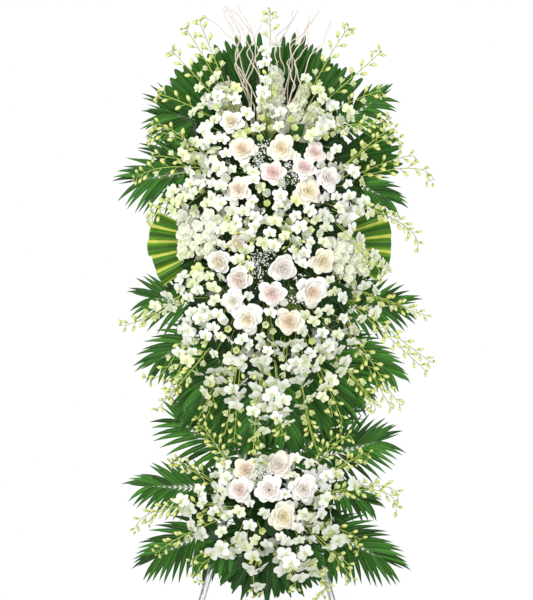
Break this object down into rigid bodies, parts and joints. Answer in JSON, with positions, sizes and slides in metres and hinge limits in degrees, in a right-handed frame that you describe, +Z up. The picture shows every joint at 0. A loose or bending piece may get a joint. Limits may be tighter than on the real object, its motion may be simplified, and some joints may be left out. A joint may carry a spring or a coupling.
{
  "type": "standing funeral spray",
  "caption": "Two-tier standing spray of white roses, orchids, stock and gypsophila with palm and fan leaves, in foam cages on a tripod stand.",
  "frame": {"origin": "on the floor, under the middle of the spray's outline", "axes": "+Z up, the flowers face -Y, +X to the right of someone who faces them"},
  "size_m": [1.0132, 0.6372, 1.908],
  "materials": {
    "chrome_tube": "bright plated tube",
    "rubber": "matt black",
    "knob": "matt black",
    "cage": "moulded dark green",
    "foam": "open-celled wet floral foam",
    "palm": "satin leaf",
    "fan_leaf": "satin leaf",
    "pleated_leaf": "satin variegated leaf",
    "salal": "glossy leaf",
    "rose": "soft petal",
    "orchid": "soft petal",
    "stock": "soft petal",
    "gypsophila": "soft petal",
    "willow": "bleached bark"
  },
  "bodies": {
    "root": {"cage_lower": "cage", "cage_upper": "cage", "fan_leaves_lower": "fan_leaf", "fan_leaves_right": "fan_leaf", "fan_leaves_skirt": "fan_leaf", "fan_leaves_top": "fan_leaf", "fan_leaves_top_left": "fan_leaf", "fan_leaves_top_right": "fan_leaf", "foam_lower": "foam", "foam_upper": "foam", "foot_left": "rubber", "foot_rear": "rubber", "foot_right": "rubber", "gypsophila_lower": "gypsophila", "gypsophila_middle": "gypsophila", "gypsophila_upper": "gypsophila", "hub": "chrome_tube", "leg_left": "chrome_tube", "leg_rear": "chrome_tube", "leg_right": "chrome_tube", "mast": "chrome_tube", "mast_knob": "knob", "orchids_bottom": "orchid", "orchids_bottom_left": "orchid", "orchids_bottom_right": "orchid", "orchids_centre": "orchid", "orchids_left": "orchid", "orchids_left_high": "orchid", "orchids_lower_bottom": "orchid", "orchids_lower_left": "orchid", "orchids_lower_right": "orchid", "orchids_right": "orchid", "orchids_right_high": "orchid", "orchids_top": "orchid", "orchids_top_left": "orchid", "orchids_top_right": "orchid", "palm_left_high": "palm", "palm_left_low": "palm", "palm_lower_left": "palm", "palm_lower_left_high": "palm", "palm_lower_right": "palm", "palm_lower_right_high": "palm", "palm_right_high": "palm", "palm_right_low": "palm", "pleated_leaf_left": "pleated_leaf", "pleated_leaf_right": "pleated_leaf", "roses_lower_left": "rose", "roses_lower_right": "rose", "roses_middle_left": "rose", "roses_middle_right": "rose", "roses_upper_left": "rose", "roses_upper_right": "rose", "salal_lower": "salal", "salal_middle": "salal", "salal_upper": "salal", "stock_left": "stock", "stock_right": "stock", "stock_top": "stock", "willow_left": "willow", "willow_right": "willow"}
  },
  "joints": []
}
